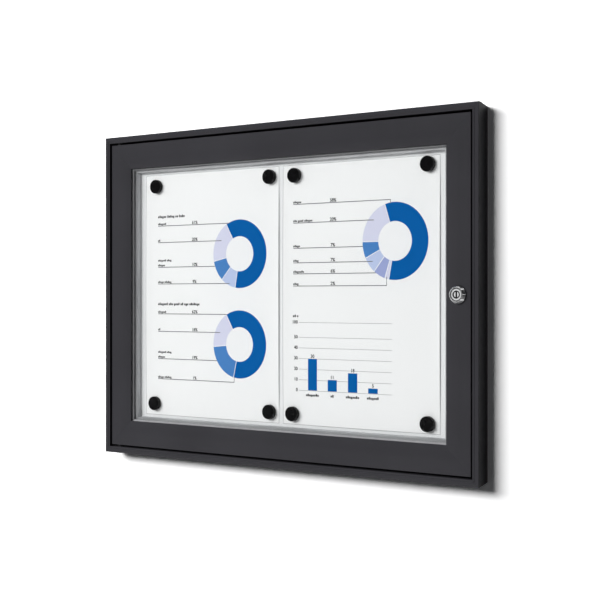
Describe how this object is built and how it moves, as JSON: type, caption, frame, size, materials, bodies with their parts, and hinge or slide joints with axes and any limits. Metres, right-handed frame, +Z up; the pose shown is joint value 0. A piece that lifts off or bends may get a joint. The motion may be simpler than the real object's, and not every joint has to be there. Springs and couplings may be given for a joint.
{
  "type": "lockable notice board",
  "caption": "Flat wall-mounted notice board: a glazed door on a side hinge closes into a shallow metal case and locks with a cam over a white magnetic panel.",
  "frame": {"origin": "middle of the board's back, on the wall plane, which is also the centre of the four wall holes", "axes": "+Z up along the wall, +X to the right seen from the front, -Y out of the wall towards the viewer, +Y into the wall"},
  "size_m": [0.536, 0.0268, 0.396],
  "materials": {
    "frame_paint": "satin",
    "key_steel": "zinc plated",
    "key_cast": "as cast",
    "core_board": "matt",
    "panel_white": "satin",
    "bead_silver": "anodised",
    "screw_steel": "zinc plated",
    "strike_steel": "zinc plated",
    "pin_steel": "bright",
    "washer_nylon": "matt",
    "buffer_rubber": "matt",
    "gasket_grey": "satin",
    "pane_clear": "clear",
    "paper": "matt",
    "magnet_cap": "satin",
    "magnet_disc": "matt",
    "lock_chrome": "polished",
    "lock_steel": "zinc plated"
  },
  "bodies": {
    "case": {"bead_screws": "screw_steel", "case_corner_key_bottom": "key_steel", "case_corner_key_left": "key_steel", "case_corner_key_right": "key_steel", "case_corner_key_top": "key_steel", "case_frame_bottom": "frame_paint", "case_frame_left": "frame_paint", "case_frame_right": "frame_paint", "case_frame_top": "frame_paint", "door_buffers": "buffer_rubber", "hinge_pin_bottom": "pin_steel", "hinge_pin_top": "pin_steel", "hinge_washers": "washer_nylon", "magnet_1": "magnet_cap", "magnet_2": "magnet_cap", "magnet_3": "magnet_cap", "magnet_4": "magnet_cap", "magnet_5": "magnet_cap", "magnet_6": "magnet_cap", "magnet_7": "magnet_cap", "magnet_8": "magnet_cap", "magnet_cores": "magnet_disc", "panel_bead_bottom": "bead_silver", "panel_bead_left": "bead_silver", "panel_bead_right": "bead_silver", "panel_bead_top": "bead_silver", "panel_core": "core_board", "panel_facing": "panel_white", "sheet_left": "paper", "sheet_right": "paper", "strike_plate": "strike_steel", "strike_screws": "screw_steel"},
    "door": {"door_corner_key_bottom": "key_cast", "door_corner_key_left": "key_cast", "door_corner_key_right": "key_cast", "door_corner_key_top": "key_cast", "door_frame_bottom": "frame_paint", "door_frame_left": "frame_paint", "door_frame_right": "frame_paint", "door_frame_top": "frame_paint", "glazing_gasket_bottom": "gasket_grey", "glazing_gasket_left": "gasket_grey", "glazing_gasket_right": "gasket_grey", "glazing_gasket_top": "gasket_grey", "lock_housing": "lock_chrome", "lock_nut": "lock_steel", "window_pane": "pane_clear"},
    "lock": {"lock_plug": "lock_chrome", "lock_cam": "lock_steel", "cam_screw": "lock_steel"}
  },
  "joints": [
    {"name": "door_hinge", "type": "hinge", "parent": "case", "child": "door", "pos_m": [-0.249, -0.017, 0], "axis": [0, 0, -1], "range_deg": [0, 120]},
    {"name": "lock_turn", "type": "hinge", "parent": "door", "child": "lock", "pos_m": [0.243, 0, 0], "axis": [0, 1, 0], "range_deg": [0, 90]}
  ]
}
